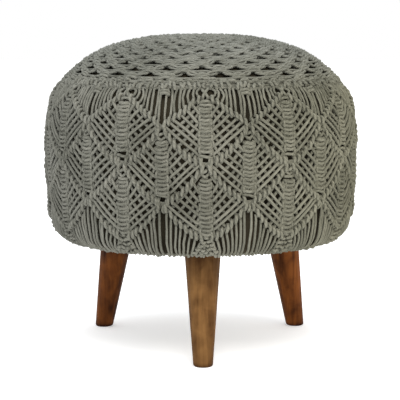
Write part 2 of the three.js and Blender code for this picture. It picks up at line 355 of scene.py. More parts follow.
def half_diamonds():
    """Row, top, bottom and outer corner of each half diamond."""
    for row in range(ROWS):
        for column in range(REPEATS):
            for side in SIDES:
                yield row, corner(row, column), corner(row + 2, column), corner(row + 1, column, side)


rows, tops, bottoms, outers = map(np.array, zip(*half_diamonds()))


def down_the_middle(shares):
    """Places at shares of the way from the top to the bottom of each diamond."""
    return tops[:, None] + (bottoms - tops)[:, None] * shares[..., None]


def beside(middles, places, edge):
    """Places on the middle line, moved out to the edge of its knots, on the side of other places."""
    reach = places[..., 0] - middles[..., 0]
    stop = np.minimum(edge / MM_PER_DEGREE, FARTHEST_STOP * np.abs(reach))
    return middles + np.stack([np.sign(reach) * stop, 0 * reach], axis=-1)


def slants(outer_ends, inner_ends, rises, sag):
    """Cords between two sets of ends, lifted to their rises on the way and sagging between them."""
    line = outer_ends[..., None, :] + (inner_ends - outer_ends)[..., None, :] * SLANT_WAY[:, None]
    line[..., 1] -= sag * np.sin(SLANT_WAY * math.pi)
    height = np.broadcast_to(np.array(rises, float)[:, None], (*line.shape[:-1], 1))
    return loosened(np.concatenate([line, height], axis=-1), SLANT_PLAY)


print(len(rows), "half diamonds")

# %% [markdown]
# ## Cords inside the diamonds
# In each half diamond six cords leave the upper edge and run down to the middle. Six more run from the
# middle out to the lower edge, underneath them, so small square holes are left between. Where they start
# and end was counted in a photograph, in shares of the edges and of the middle line, row by row.

# %% Slanting cords
OVER_AT_EDGE = [
    (0.32, 0.46, 0.61, 0.74, 0.85, 0.95),
    (0.3, 0.41, 0.53, 0.65, 0.78, 0.92),
    (0.3, 0.42, 0.54, 0.67, 0.8, 0.93),
]
OVER_AT_MIDDLE = [
    (0.31, 0.43, 0.55, 0.66, 0.77, 0.88),
    (0.33, 0.44, 0.56, 0.67, 0.78, 0.88),
    (0.38, 0.49, 0.6, 0.7, 0.8, 0.89),
]
OVER_RISES = [2.2, 4.6, 5.2, 4.6, 2.2]
SLANT_CORD = 1.85
OVER_STOP = 8
UNDER_SHARES = [0.14, 0.26, 0.39, 0.515, 0.64, 0.765]
UNDER_RISES = [1.8, 2.1, 2.2, 2.1, 1.8]
UNDER_CORD = 2.1
UNDER_STOP = 6
UNDER_SAG = 2.5

over_outer = on_edge(rows, tops, outers, np.array(OVER_AT_EDGE)[rows])
over_middle = down_the_middle(np.array(OVER_AT_MIDDLE)[rows])
over = slants(over_outer, beside(over_middle, over_outer, OVER_STOP), OVER_RISES, 0)
lay("slant_cords", strands(over, SMOOTH, SLANT_CORD), "side_band")

under_shares = np.broadcast_to(UNDER_SHARES, (len(rows), len(UNDER_SHARES)))
under_outer = on_edge(rows + 1, outers, bottoms, under_shares)
under_middle = down_the_middle(under_shares)
under = slants(under_outer, beside(under_middle, under_outer, UNDER_STOP), UNDER_RISES, UNDER_SAG)
lay("under_cords", strands(under, PLAIN, UNDER_CORD), "side_band")

# %% [markdown]
# ## Columns of square knots
# Down the middle of each diamond runs a column of square knots. Seen from the front, a square knot is a
# pair of bars across the column, and each bar turns back at its ends round the other cord. One bar is
# drawn once, as a short bowed strand with dropped ends, and repeated down the column, turned over left to
# right each time. Four filler cords run behind the bars, and short loops at the sides stand for the cord
# that comes back.

# %% Square knots
BARS = 13
COLUMN_TOPS = np.array([12.5, 20, 22])
COLUMN_FEET = np.array([13, 11, 4])
BAR_SHAPE = [
    (-7.2, 1.2, 1.4),
    (-6.3, 0.3, 4.0),
    (-3.2, -0.5, 5.5),
    (0, -0.6, 5.9),
    (3.2, -0.1, 5.5),
    (6.3, 0.9, 4.0),
    (7.2, 1.8, 1.4),
]
LOOP_SHAPE = [
    (5.2, 4.4, 2.6),
    (7.0, 3.2, 4.2),
    (7.7, 0, 4.6),
    (7.0, -3.2, 4.2),
    (5.2, -4.2, 2.6),
]
LOOP_DROP = 2.4
FILLERS = (-4.2, -1.4, 1.4, 4.2)
FILLER_RISE = 3.2
FILLER_STOPS = [3, 7]
BAR_CORD = 1.95
LOOP_CORD = 1.7
BAR_PLAY = (0.55, 0.45, 0.3)
FILLER_PLAY = (0.3, 0.3, 0.2)
LOOP_PLAY = (0.4, 0.4, 0.2)

column_tops = tops[::2] - np.stack([0 * rows[::2], COLUMN_TOPS[rows[::2]]], axis=-1)
column_feet = bottoms[::2] + np.stack([0 * rows[::2], COLUMN_FEET[rows[::2]]], axis=-1)
bar_shares = (np.arange(BARS)[:, None] + 0.5) / BARS
centres = column_tops[:, None] + (column_feet - column_tops)[:, None] * bar_shares
bar_turns = np.where(np.arange(BARS) % 2, 1, -1)


def mirrored(shape, leans):
    """A shape for each lean. A lean of -1 turns it over left to right, and a small one makes it narrow."""
    wide = np.stack([leans, np.ones_like(leans), np.ones_like(leans)], axis=-1)
    return np.asarray(shape, float) * wide[..., None, :]


bars = around(centres[..., 0], centres[..., 1], mirrored(BAR_SHAPE, bar_turns))
knot_cords = strands(loosened(bars, BAR_PLAY), PLAIN, BAR_CORD)
filler_stops = centres[:, FILLER_STOPS]
filler_path = np.concatenate([column_tops[:, None], filler_stops, column_feet[:, None]], axis=1)
for across in FILLERS:
    filler = around(filler_path[..., 0], filler_path[..., 1], [(across, 0, FILLER_RISE)])[..., 0, :]
    knot_cords += strands(loosened(filler, FILLER_PLAY), SMOOTH, BAR_CORD)
for side in SIDES:
    first = 0 if side > 0 else 1
    looped = centres[:, first::2]
    loops = around(looped[..., 0], looped[..., 1] - LOOP_DROP, mirrored(LOOP_SHAPE, np.array(side)))
    knot_cords += strands(loosened(loops, LOOP_PLAY), PLAIN, LOOP_CORD)
lay("square_knot_columns", knot_cords, "side_band")

# %% [markdown]
# ## Diagonal rows of hitches
# Each edge of a diamond is a holding cord with the other cords hitched over it, one after the other. From
# the front a hitch is a short upright arch over the holding cord. The holding cord itself shows as a slant
# in the gaps between the arches.

# %% Hitches
HITCH_SHAPE = [(-0.9, 5.2, 1.2), (-0.6, 3.6, 5.4), (0, 0, 7.0), (0.6, -3.6, 5.4), (0.9, -5.2, 1.2)]
HITCH_CORD = 2.1
HITCH_PLAY = (0.45, 0.5, 0.3)
HOLDING_RISE = 2.8
HOLDING_POINTS = 7

hitch_sides = np.repeat(edge_sides[:, None], HITCHES, axis=1)
arches = around(hitches[..., 0], hitches[..., 1], mirrored(HITCH_SHAPE, hitch_sides))
lay("diagonal_hitches", strands(loosened(arches, HITCH_PLAY), SMOOTH, HITCH_CORD), "side_band")

holding = on_edge(edge_levels, edge_starts, edge_ends, np.linspace(0, 1, HOLDING_POINTS))
holding = np.concatenate([holding, np.full((*holding.shape[:-1], 1), HOLDING_RISE)], axis=-1)
lay("holding_cords", strands(holding, SMOOTH, SLANT_CORD), "side_band")

# %% [markdown]
# ## Knots at the corners
# Where two edges start or meet, a few cords cross over and stand as short lumps, with small dark holes
# between. A cluster is a list of short strands about a corner, and each level has its own. Following each
# cord through its knot would take far more points, and none of them would show. Below the lowest corners
# the cluster is a wide patch of small slanting beads, one row under the other.

# %% Corner knots
LUMP = [(0, 5.0, 1.4), (0, 3.2, 4.8), (0, 0, 5.8), (0, -3.2, 4.8), (0, -5.0, 1.4)]
BEAD = [(-2.9, 1.5, 1.4), (-1.8, 0.8, 4.8), (0, 0, 6.0), (1.8, -0.8, 4.8), (2.9, -1.5, 1.4)]
CROSSING = [(-3.4, 9.5, 1.8), (-2.2, 5.0, 4.8), (0.6, 0, 5.8), (2.6, -4.6, 4.8), (2.2, -8.0, 1.8)]
TIP_BAR = [(-6.4, -10.8, 1.4), (-5.0, -10.3, 4.2), (0, -9.8, 5.6), (5.0, -10.3, 4.2), (6.4, -10.8, 1.4)]
LINTEL = [(-9, 8.8, 1.5), (-5, 8.8, 4.4), (0, 8.2, 5.2), (5, 7.0, 4.4), (9, 5.8, 1.5)]
NECK = [(5.6, -12.0, 1.8), (3.6, -14.2, 4.0), (1.0, -16.6, 4.6), (-1.6, -19.0, 1.8)]
CAP_BAR = [(-6.4, -19.8, 1.6), (-5.0, -20.2, 4.4), (0, -20.8, 5.8), (5.0, -20.2, 4.4), (6.4, -19.8, 1.6)]
ROOT_BEADS = [
    # across and up, one row of beads after the other
    (0, 3),
    (-3.4, -3), (3.4, -2),
    (-6.8, -8), (0, -9), (6.6, -8),
    (-10, -14), (-3.4, -15), (3.2, -14), (10, -13),
    (-13, -20), (-6.6, -21), (0, -20), (6.8, -21), (13, -19),
    (-9.6, -26), (-3.2, -27), (3.4, -26), (9.8, -27),
]
CORNER_CORD = 1.9
CORNER_PLAY = (0.6, 0.6, 0.3)


def turned_over(shape):
    """A shape turned over left to right."""
    return np.array(shape) * [-1, 1, 1]


def lump_at(across, up):
    return np.array(LUMP) + [across, up, 0]


def bead_at(across, up):
    """A bead that leans to the right where its distance up is odd, and to the left where it is even."""
    return (np.array(BEAD) if up % 2 else turned_over(BEAD)) + [across, up, 0]


CLUSTERS = [
    # levels of the corners, and the strands about each
    ([0], [CROSSING, turned_over(CROSSING), TIP_BAR]),
    ([1, 2], [lump_at(-5.4, -8.0), lump_at(5.4, -8.2), bead_at(0, -10), NECK, turned_over(NECK), CAP_BAR]),
    ([2, 3], [LINTEL, lump_at(-6.0, 1.0), lump_at(6.0, 1.4)]),
    ([3], [lump_at(0, -7.5)]),
    ([4], [bead_at(across, up) for across, up in ROOT_BEADS]),
]

corner_cords = []
for levels, shapes in CLUSTERS:
    places = corners[levels].reshape(-1, 2)
    for shape in shapes:
        cluster = loosened(around(places[:, 0], places[:, 1], shape), CORNER_PLAY)
        corner_cords += strands(cluster, SMOOTH, CORNER_CORD)
lay("corner_knots", corner_cords, "side_band")

# %% [markdown]
# ## Cords above the diamonds
# Above the top row of diamonds the cords hang straight down from the seam, sixteen to each repeat. They end
# at the hitches of a zigzag of edges, so they are long between two diamonds and short above a corner. Next
# to a diamond's tip they bow away from it.

# %% Top fans
SEAM_HEIGHT = 356
TOP_FAN_WAY = np.array([0, 0.25, 0.55, 0.85, 1])
TOP_FAN_RISES = [2.2, 3.2, 3.6, 3.4, 2.2]
TIP_BOW = 4.5
TIP_BOW_FADE = 1.5
BOW_PLAY = 0.9
TOP_FAN_PLAY = (0.5, 0.3, 0.3)
FAN_CORD = 1.64
HITCH_REACH = 3.5

seam_run = run_at_height(SEAM_HEIGHT)
top_edges = edge_levels == 0
feet = hitches[top_edges].reshape(-1, 2)
feet_sides = np.repeat(edge_sides[top_edges], HITCHES)
feet_shares = np.tile(HITCH_SHARES[0], 2 * REPEATS)
bow = feet_sides * TIP_BOW * (1 - feet_shares) ** TIP_BOW_FADE
bow = (bow + rng.normal(0, BOW_PLAY, len(feet))) / MM_PER_DEGREE
top_fan = np.stack(
    [
        feet[:, :1] + bow[:, None] * np.sin(np.pi * TOP_FAN_WAY),
        seam_run + (feet[:, 1:] + HITCH_REACH - seam_run) * TOP_FAN_WAY,
        np.broadcast_to(TOP_FAN_RISES, (len(feet), len(TOP_FAN_WAY))),
    ],
    axis=-1,
)
lay("top_fan_cords", strands(loosened(top_fan, TOP_FAN_PLAY), SMOOTH, FAN_CORD), "side_band")

# %% [markdown]
# ## Cords below the diamonds
# Below the bottom row the cords run on over the rim to the hem. Each one starts at a hitch and bends at
# once towards the middle of its fan. Four more cords leave each lowest corner and run behind its beads, so
# that the fans meet there.

# %% Bottom fans
HEM_RADIUS = 184
BOTTOM_FAN_WAY = np.array([0, 0.12, 0.35, 0.6, 0.78, 0.9, 1])
BOTTOM_FAN_RISES = [2.2, 3.6, 3.8, 3.8, 3.9, 4.2, 4.6]
GATHER = 0.14
BEND = 2.5
ROOTS = np.array([-6.0, -2.2, 2.2, 6.0])
ROOT_DROP = 1.6
BOTTOM_FAN_PLAY = (0.6, 0.3, 0.3)

hem_run = run_under_rim(HEM_RADIUS)
bottom_edges = edge_levels == edge_levels.max()
heads = hitches[bottom_edges].reshape(-1, 2)
fan_middles = np.repeat(edge_starts[bottom_edges][:, 0], HITCHES)
pull = (fan_middles - heads[:, 0]) * GATHER
root_shape = np.stack([ROOTS, 0 * ROOTS, 0 * ROOTS], axis=-1)
roots = around(corners[-1][:, 0], corners[-1][:, 1], root_shape)[..., :2].reshape(-1, 2)
heads = np.concatenate([heads, roots])
pull = np.concatenate([pull, np.zeros(len(roots))])
bottom_fan = np.stack(
    [
        heads[:, :1] + pull[:, None] * (1 - (1 - BOTTOM_FAN_WAY) ** BEND),
        heads[:, 1:] - HITCH_REACH + (hem_run - heads[:, 1:] + HITCH_REACH) * BOTTOM_FAN_WAY,
        np.broadcast_to(BOTTOM_FAN_RISES, (len(heads), len(BOTTOM_FAN_WAY))),
    ],
    axis=-1,
)
bottom_fan[-len(roots) :, :, 2] -= ROOT_DROP
lay("bottom_fan_cords", strands(loosened(bottom_fan, BOTTOM_FAN_PLAY), SMOOTH, FAN_CORD), "side_band")

# %% [markdown]
# ## Rings of cord
# The seam and the hem are built on rings of cord that go right round the drum, and small ones close the
# crown. Blender's torus would make a ring in a single step, but it would lie quite level, as no tied cord
# does. So a ring is one more strand, whose ends meet, and it waves a little up and down.

# %% Rings of cord
RING_STEPS = 144
RING_WAVES = 48


def ring(run, rise, wave):
    """A closed ring of cord about one run, as a strand whose ends meet."""
    turn = np.linspace(0, 360, RING_STEPS + 1)
    shift = rng.normal(0, wave, RING_WAVES)
    shift = np.interp(turn, np.linspace(0, 360, RING_WAVES + 1), np.append(shift, shift[0]))
    return np.stack([turn, run + shift, np.full(RING_STEPS + 1, float(rise))], axis=-1)


print("a ring has", RING_STEPS, "steps and", RING_WAVES, "waves")

# %% [markdown]
# ## The seam
# At the seam every cord is hitched round a ring, so it shows as a row of small slanting lumps. Only the
# front of a hitch shows, so one short strand is enough for each. They lean at random, and some are left
# out, because the real row is uneven. Above them lies a row of small knots of two bars each. Halfway
# between two diamonds a flat knot of two bars hangs just under the seam.

# %% Seam
SEAM_RINGS = [
    # lift above the seam's line, and rise
    (2.0, 1.6),
    (5.4, 2.0),
    (9.6, 2.4),
    (12.6, 2.4),
]
SEAM_WAVE = 1.0
SEAM_HITCHES = 192
SEAM_LUMP = [(-1.8, 4.6, 1.2), (-1.2, 3.0, 4.0), (0, 0, 5.4), (1.2, -3.0, 4.2), (1.8, -4.4, 1.6)]
SEAM_LEANS = [-1.0, 0.3, 1.0]
SEAM_LIFT = 4.2
SEAM_TURN_PLAY = 0.35
SEAM_RUN_PLAY = 1.0
SEAM_LUMP_PLAY = (0.9, 0.7, 0.6)
SEAM_LEFT_OUT = 0.08
SEAM_KNOTS = 84
SEAM_BAR = [(-5.2, -0.6, 1.4), (-3.8, 0, 4.2), (0, 0.5, 5.4), (3.8, 0, 4.2), (5.2, -0.6, 1.4)]
SEAM_BAR_LIFTS = (10.0, 13.2)
SEAM_KNOT_TURN_PLAY = 0.6
SEAM_BAR_PLAY = (0.9, 0.8, 0.4)
SEAM_BAR_CORD = 1.9
FAN_KNOT = [(-5.0, -0.8, 1.6), (-4.2, 0, 4.8), (0, 0.3, 6.0), (4.2, 0, 4.8), (5.0, -0.8, 1.6)]
FAN_KNOT_DROPS = (3.4, 7.6)
FAN_KNOT_PLAY = (0.5, 0.4, 0.3)
SEAM_CORD = 2.1

seam_cords = []
for lift, rise in SEAM_RINGS:
    seam_cords += strands(ring(seam_run + lift, rise, SEAM_WAVE), PLAIN, SLANT_CORD)
seam_degrees = np.arange(SEAM_HITCHES) * 360 / SEAM_HITCHES + rng.normal(0, SEAM_TURN_PLAY, SEAM_HITCHES)
seam_runs = seam_run + SEAM_LIFT + rng.normal(0, SEAM_RUN_PLAY, SEAM_HITCHES)
seam_shapes = mirrored(SEAM_LUMP, rng.choice(SEAM_LEANS, SEAM_HITCHES))
seam_lumps = loosened(around(seam_degrees, seam_runs, seam_shapes), SEAM_LUMP_PLAY)
kept_lumps = seam_lumps[rng.random(SEAM_HITCHES) > SEAM_LEFT_OUT]
seam_cords += strands(kept_lumps, PLAIN, SEAM_CORD)
knot_degrees = np.arange(SEAM_KNOTS) * 360 / SEAM_KNOTS + rng.normal(0, SEAM_KNOT_TURN_PLAY, SEAM_KNOTS)
for lift in SEAM_BAR_LIFTS:
    shape = np.array(SEAM_BAR) + [0, lift, 0]
    seam_bars = loosened(around(knot_degrees, seam_run, shape), SEAM_BAR_PLAY)
    seam_cords += strands(seam_bars, PLAIN, SEAM_BAR_CORD)
for drop in FAN_KNOT_DROPS:
    shape = np.array(FAN_KNOT) - [0, drop, 0]
    fan_knots = loosened(around(corners[1][:, 0], seam_run, shape), FAN_KNOT_PLAY)
    seam_cords += strands(fan_knots, PLAIN, SEAM_CORD)
lay("seam_band", seam_cords, "side_band")

# %% [markdown]
# ## The hem
# Under the rim all cords end at the hem. There each is hitched round one last ring, so the lower edge of the
# cover is a row of lumps, one to each cord. A plain ring would do for the lower edge seen from afar, but
# the lumps make its outline bumpy, as it is on the real one.

# %% Hem
HEM_RISE = 4.0
HEM_WAVE = 0.3
HEM_RING_CORD = 2.0
HEM_LUMP = [(-0.5, 4.6, 2.0), (-0.2, 3.0, 4.6), (0, 0, 6.0), (0.2, -3.0, 5.2), (0.5, -4.8, 2.6)]
HEM_PLAY = (0.6, 0.8, 0.4)
HEM_CORD = 1.9

hem_cords = strands(ring(hem_run, HEM_RISE, HEM_WAVE), PLAIN, HEM_RING_CORD)
hem_lumps = loosened(around(heads[:, 0] + pull, hem_run, HEM_LUMP), HEM_PLAY)
hem_cords += strands(hem_lumps, PLAIN, HEM_CORD)
lay("hem_cords", hem_cords, "side_band")

# %% [markdown]
# ## The net over the crown
# The top is a round net of alternating square knots. Rings of knots follow one another inwards, each set
# half a step round from the last. The cords between them run nearly level, so the work is almost closed:
# between two knots only a thin slit is left, with a small round hole on its inner side, where the cords
# turn up into the next knot. A knot of the net is three bars, and it gets narrower with its ring.

# %% Net knots
NET_RINGS = [
    # radius, knots, share of a step that the ring is turned
    (176, 24, 0),
    (167, 24, 0.5),
    (158, 24, 0),
    (149.5, 24, 0.5),
    (141, 24, 0),
    (132, 24, 0.5),
    (122, 24, 0),
    (111, 24, 0.5),
    (100, 24, 0),
    (89, 24, 0.5),
    (78, 24, 0),
    (67, 24, 0.5),
    (56, 12, 0.25),
    (45, 12, 0.75),
    (34, 12, 0.25),
    (23, 12, 0.75),
]
NET_TURN = 0.5
NET_TURN_PLAY = 0.5
NET_RUN_PLAY = 0.9
NET_BAR = [
    # share of the knot's half width, up, rise
    (-1, -1.0, 1.2),
    (-0.8, -0.4, 4.2),
    (-0.3, 0.3, 5.4),
    (0.3, 0.3, 5.4),
    (0.8, -0.4, 4.2),
    (1, -1.0, 1.2),
]
NET_BARS = 3
BAR_PITCH = 3.5
KNOT_SHARE = 0.4
NET_BAR_PLAY = (0.6, 0.45, 0.3)
NET_CORD = 1.9

net_places = []
net_knots = []
for radius, count, turned in NET_RINGS:
    degrees = NET_TURN + (np.arange(count) + turned) * 360 / count + rng.normal(0, NET_TURN_PLAY, count)
    places = np.stack([degrees, run_on_crown(radius) + rng.normal(0, NET_RUN_PLAY, count)], axis=-1)
    net_places.append(places)
    half_width = KNOT_SHARE * math.pi * radius / count
    for bar in range(NET_BARS):
        shape = np.array(NET_BAR) * [half_width * (-1) ** bar, 1, 1] + [0, (bar - 1) * BAR_PITCH, 0]
        net_bars = loosened(around(places[:, 0], places[:, 1], shape), NET_BAR_PLAY)
        net_knots += strands(net_bars, PLAIN, NET_CORD)
lay("crown_knots", net_knots, "top_panel")

# %% [markdown]
# ## Cords between the net's knots
# Round each hole lie four cords: one closes the slit from below, one passes above the small hole, and two
# come in from the sides and turn up beside it. They are drawn about the hole's middle, with their distance
# across as a share of half the step between knots. Nearer to the centre the steps get short, so a least
# width keeps the holes open.

# %% Net cords
BELOW_SLIT = [
    (-1, -2.2, 1.4),
    (-0.6, -2.4, 3.4),
    (-0.25, -3.3, 3.8),
    (0.25, -3.3, 3.8),
    (0.6, -2.4, 3.4),
    (1, -2.2, 1.4),
]
ABOVE_HOLE = [
    (-1, 1.6, 1.4),
    (-0.6, 4.5, 3.6),
    (-0.24, 7.6, 4.0),
    (0.24, 7.6, 4.0),
    (0.6, 4.5, 3.6),
    (1, 1.6, 1.4),
]
BESIDE_HOLE = [(1, -0.4, 1.4), (0.62, 1.4, 3.6), (0.34, 2.9, 4.0), (0.2, 4.6, 3.9), (0.16, 8.2, 1.6)]
USUAL_PITCH = 11
HOLE_HALF = 3.9
HOLE_PLAY = (0.7, 0.5, 0.4)
HOLE_CORD = 1.8
CROWN_SIDES = 6

net_cords = []
for i, (radius, count, _) in enumerate(NET_RINGS):
    places = net_places[i]
    once_round = np.where(np.arange(count) == count - 1, 360, 0)[:, None] * [1, 0]
    holes = (places + np.roll(places, -1, axis=0) + once_round) / 2
    half_step = math.pi * radius / count
    next_run = run_on_crown(NET_RINGS[i + 1][0] if i + 1 < len(NET_RINGS) else radius - USUAL_PITCH)
    scale = [half_step, (next_run - run_on_crown(radius)) / USUAL_PITCH, 1]
    for shape in (BELOW_SLIT, ABOVE_HOLE, BESIDE_HOLE, turned_over(BESIDE_HOLE)):
        scaled = np.array(shape) * scale
        scaled[:, 0] = np.sign(scaled[:, 0]) * np.maximum(np.abs(scaled[:, 0]), HOLE_HALF)
        hole_cords = loosened(around(holes[:, 0], holes[:, 1], scaled), HOLE_PLAY)
        net_cords += strands(hole_cords, SMOOTH, HOLE_CORD)
lay("crown_cords", net_cords, "top_panel", CROWN_SIDES)

# %% [markdown]
# ## The crown's centre
# From the camera the very middle of the crown lies edge on, so it is finished plainly, as a maker would
# close such a net: the cords are drawn together under a flat coil. Five rings side by side look like a
# coil, and need no helper of their own.

# %% Crown centre
COIL_RADII = (17, 13.6, 10.2, 6.8, 3.4)
COIL_RISE = 3.4
COIL_WAVE = 0.2

coil_cords = []
for radius in COIL_RADII:
    coil_cords += strands(ring(run_on_crown(radius), COIL_RISE, COIL_WAVE), PLAIN, NET_CORD)
lay("crown_centre", coil_cords, "top_panel")

# %% [markdown]
# ## The padded core
# Under the cords lies a drum of foam in dark cloth. Only small dark patches of it show. It is firm, so no
# cloth simulation is needed: a spun profile a little inside the cords has the true form. Its foot turns
# under the rim and closes flat below.

# %% Padded core
CORE_SPIN = 96
CORE_POINTS = 60
CORE_FOOT = [
    # radius and height, from the middle of the base out to the rim
    (0, 151),
    (172, 151),
    (177, 149),
    (185, 148.5),
    (193, 151.5),
]
FOOT_RADIUS = 199
SIDE_TOP_HEIGHT = 300
SIDE_RISE = -1.4
CROWN_RADIUS = 180
CROWN_RISE = -0.8
SAME_PLACE = 1e-5

core_runs = np.linspace(run_under_rim(FOOT_RADIUS), runs[-1], CORE_POINTS)
shoulder = [run_at_height(SIDE_TOP_HEIGHT), run_on_crown(CROWN_RADIUS)]
core_rises = np.interp(core_runs, shoulder, [SIDE_RISE, CROWN_RISE])
section = on_cover(np.stack([np.zeros(CORE_POINTS), core_runs, core_rises], axis=-1))
foot = [(0, -radius * MM, height * MM) for radius, height in CORE_FOOT]
drum = bmesh.new()
line = [drum.verts.new(point) for point in [*foot, *section]]
# the last point is put on the axis, so that the crown closes there
line[-1].co.y = 0
spun = line + [drum.edges.new(pair) for pair in zip(line, line[1:])]
bmesh.ops.spin(
    drum, geom=spun, cent=(0, 0, 0), axis=(0, 0, 1), angle=math.tau, steps=CORE_SPIN, use_merge=True
)
bmesh.ops.remove_doubles(drum, verts=drum.verts, dist=SAME_PLACE)
bmesh.ops.recalc_face_normals(drum, faces=drum.faces)
for face in drum.faces:
    face.smooth = True
mesh = bpy.data.meshes.new("inner_cloth")
drum.to_mesh(mesh)
drum.free()
core = bpy.data.objects.new("inner_cloth", mesh)
bpy.context.scene.collection.objects.link(core)
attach(core, "root")
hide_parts("padded_core")
print("core:", len(mesh.polygons), "faces")

# %% [markdown]
# ## Making materials
# A material is a small network of nodes. This helper makes a node, sets it up and joins its inputs in one
# call, so that each material below reads as a list of steps from a pattern to a colour.

# %% Node helper
class Finish:
    """A new material whose nodes are added one after the other."""

    def __init__(self, name):
        self.material = bpy.data.materials.new(name)
        self.material.use_nodes = True
        self.shader = self.material.node_tree.nodes["Principled BSDF"]
        print("finish:", name)

    def node(self, kind, inputs, output=0, **settings):
        """The output of a new node. Inputs are values or other nodes' outputs."""
        made = self.material.node_tree.nodes.new("ShaderNode" + kind)
        for key, value in settings.items():
            setattr(made, key, value)
        for key, value in inputs.items():
            if isinstance(value, bpy.types.NodeSocket):
                self.material.node_tree.links.new(value, made.inputs[key])
            else:
                made.inputs[key].default_value = value
        return made.outputs[output]

    def maths(self, operation, *values):
        return self.node("Math", dict(enumerate(values)), operation=operation)

    def ramp(self, value, stops):
        """Colours blended by a value, from (position, (red, green, blue)) stops."""
        colour = self.node("ValToRGB", {0: value})
        elements = colour.node.color_ramp.elements
        while len(elements) < len(stops):
            elements.new(0.5)
        for element, (position, rgb) in zip(elements, stops):
            element.position = position
            element.color = (*rgb, 1)
        return colour

    def surface(self, colour, roughness, specular, bump):
        links = self.material.node_tree.links
        links.new(colour, self.shader.inputs["Base Color"])
        links.new(bump, self.shader.inputs["Normal"])
        self.shader.inputs["Roughness"].default_value = roughness
        self.shader.inputs["Specular IOR Level"].default_value = specular
        return self.material


# %% [markdown]
# ## Cotton cord
# The cord is matt cotton, twisted from three yarns, in a grey green that drifts from strand to strand. Light
# and shade are painted into the colour by place: the sides of the drum are painted a little darker, with a
# cool shade on the left and a warm light on the right, and the crown is painted with a cooler light. The
# twist is a slanting wave in the strand's own UV map. It paints shade into the grooves and light onto the
# yarns, and lifts the yarns as bump, with fine fibre noise over it. Real grooves would need far too many
# faces.

# %% Cord material
CORD_COLOURS = [(0, (0.083, 0.084, 0.066)), (0.5, (0.158, 0.158, 0.13)), (1, (0.228, 0.226, 0.19))]
# painted light and shade by place: the sides a little darker, cool on the left and warm on the right, and a
# cooler light on the crown
SIDE_PAINTED_LIGHT = [(0, (0.9, 0.905, 0.945)), (0.5, (1.0, 0.985, 0.965)), (1, (0.94, 0.915, 0.8))]
SIDE_PAINTED_LIGHT_REACH = 0.2
CROWN_PAINTED_LIGHT = (0.955, 0.975, 1.03, 1)
CROWN_PAINTED_LIGHT_HEIGHTS = (0.345, 0.4)
TWIST_PITCH = 9.0
YARNS = 3
# painted shade in the grooves of the twist, and painted light on the yarns between them
TWIST_PAINTED_SHADE = 0.13
FIBRES = {"Scale": 900, "Detail": 3}
FIBRE_RELIEF = 1.2
CORD_BUMP = {"Strength": 0.5, "Distance": 0.0006}
TONE_SHARE = 0.45
DRIFT = {"Scale": 11, "Detail": 2}
DRIFT_SHIFT = 0.22
MOTTLES = {"Scale": 240, "Detail": 1}
MOTTLING = 0.5

cord = Finish("twisted_cotton_cord")
uv = cord.node("TexCoord", {}, "UV")
place = uv.node.outputs["Object"]
around_cord = cord.node("SeparateXYZ", {0: uv})
along_cord = around_cord.node.outputs[1]
along_twist = cord.maths("MULTIPLY", along_cord, math.tau / TWIST_PITCH)
wave = cord.maths("SINE", cord.maths("MULTIPLY_ADD", around_cord, math.tau * YARNS, along_twist))
fibre = cord.node("TexNoise", {"Vector": place, **FIBRES})
relief = cord.maths("MULTIPLY_ADD", fibre, FIBRE_RELIEF, wave)
bump = cord.node("Bump", {"Height": relief, **CORD_BUMP})

tone = cord.node("Attribute", {}, "Fac", attribute_name="tone")
drift = cord.node("TexNoise", {"Vector": place, **DRIFT})
level = cord.maths("MULTIPLY_ADD", tone, TONE_SHARE, cord.maths("SUBTRACT", drift, DRIFT_SHIFT))
mottle = cord.node("TexNoise", {"Vector": place, **MOTTLES})
mottled = cord.maths("MULTIPLY_ADD", mottle, MOTTLING, cord.maths("SUBTRACT", level, MOTTLING / 2))
# random cotton tone, with painted shade in the grooves and painted light on the yarns
cotton_tone_and_painted_groove_shade = cord.ramp(cord.maths("MULTIPLY_ADD", wave, TWIST_PAINTED_SHADE, mottled), CORD_COLOURS)

# painted light and shade: the cotton's colour is tinted by its place from left to right and on the crown
sideways = cord.node("SeparateXYZ", {0: place})
from_left = cord.node("MapRange", {0: sideways, 1: -SIDE_PAINTED_LIGHT_REACH, 2: SIDE_PAINTED_LIGHT_REACH})
lowest, highest = CROWN_PAINTED_LIGHT_HEIGHTS
on_crown = cord.node("MapRange", {0: sideways.node.outputs[2], 1: lowest, 2: highest})
painted_light_tint = cord.node("MixRGB", {0: on_crown, 1: cord.ramp(from_left, SIDE_PAINTED_LIGHT), 2: CROWN_PAINTED_LIGHT})
dyed_and_painted_light = cord.node("MixRGB", {0: 1, 1: cotton_tone_and_painted_groove_shade, 2: painted_light_tint}, blend_type="MULTIPLY")
cotton = cord.surface(dyed_and_painted_light, roughness=0.95, specular=0.1, bump=bump)
for piece in pieces:
    piece.data.materials.clear()
    piece.data.materials.append(cotton)

# %% [markdown]
# ## Inner cloth
# The cloth under the cords is a plain brown weave. It lies in shade, so it needs little: a colour that
# varies in soft patches, and a fine grain.

# %% Inner cloth material
CLOTH_COLOURS = [(0.3, (0.017, 0.0145, 0.009)), (0.7, (0.045, 0.038, 0.024))]
CLOTH_GRAIN = {"Scale": 700, "Detail": 2}
CLOTH_PATCHES = {"Scale": 14}
CLOTH_BUMP = {"Strength": 0.4, "Distance": 0.0005}

cloth = Finish("brown_inner_cloth")
place = cloth.node("TexCoord", {}, "Object")
grain = cloth.node("TexNoise", {"Vector": place, **CLOTH_GRAIN})
patches = cloth.node("TexNoise", {"Vector": place, **CLOTH_PATCHES})
bump = cloth.node("Bump", {"Height": grain, **CLOTH_BUMP})
browns = cloth.ramp(patches, CLOTH_COLOURS)
core.data.materials.append(cloth.surface(browns, roughness=1.0, specular=0.1, bump=bump))
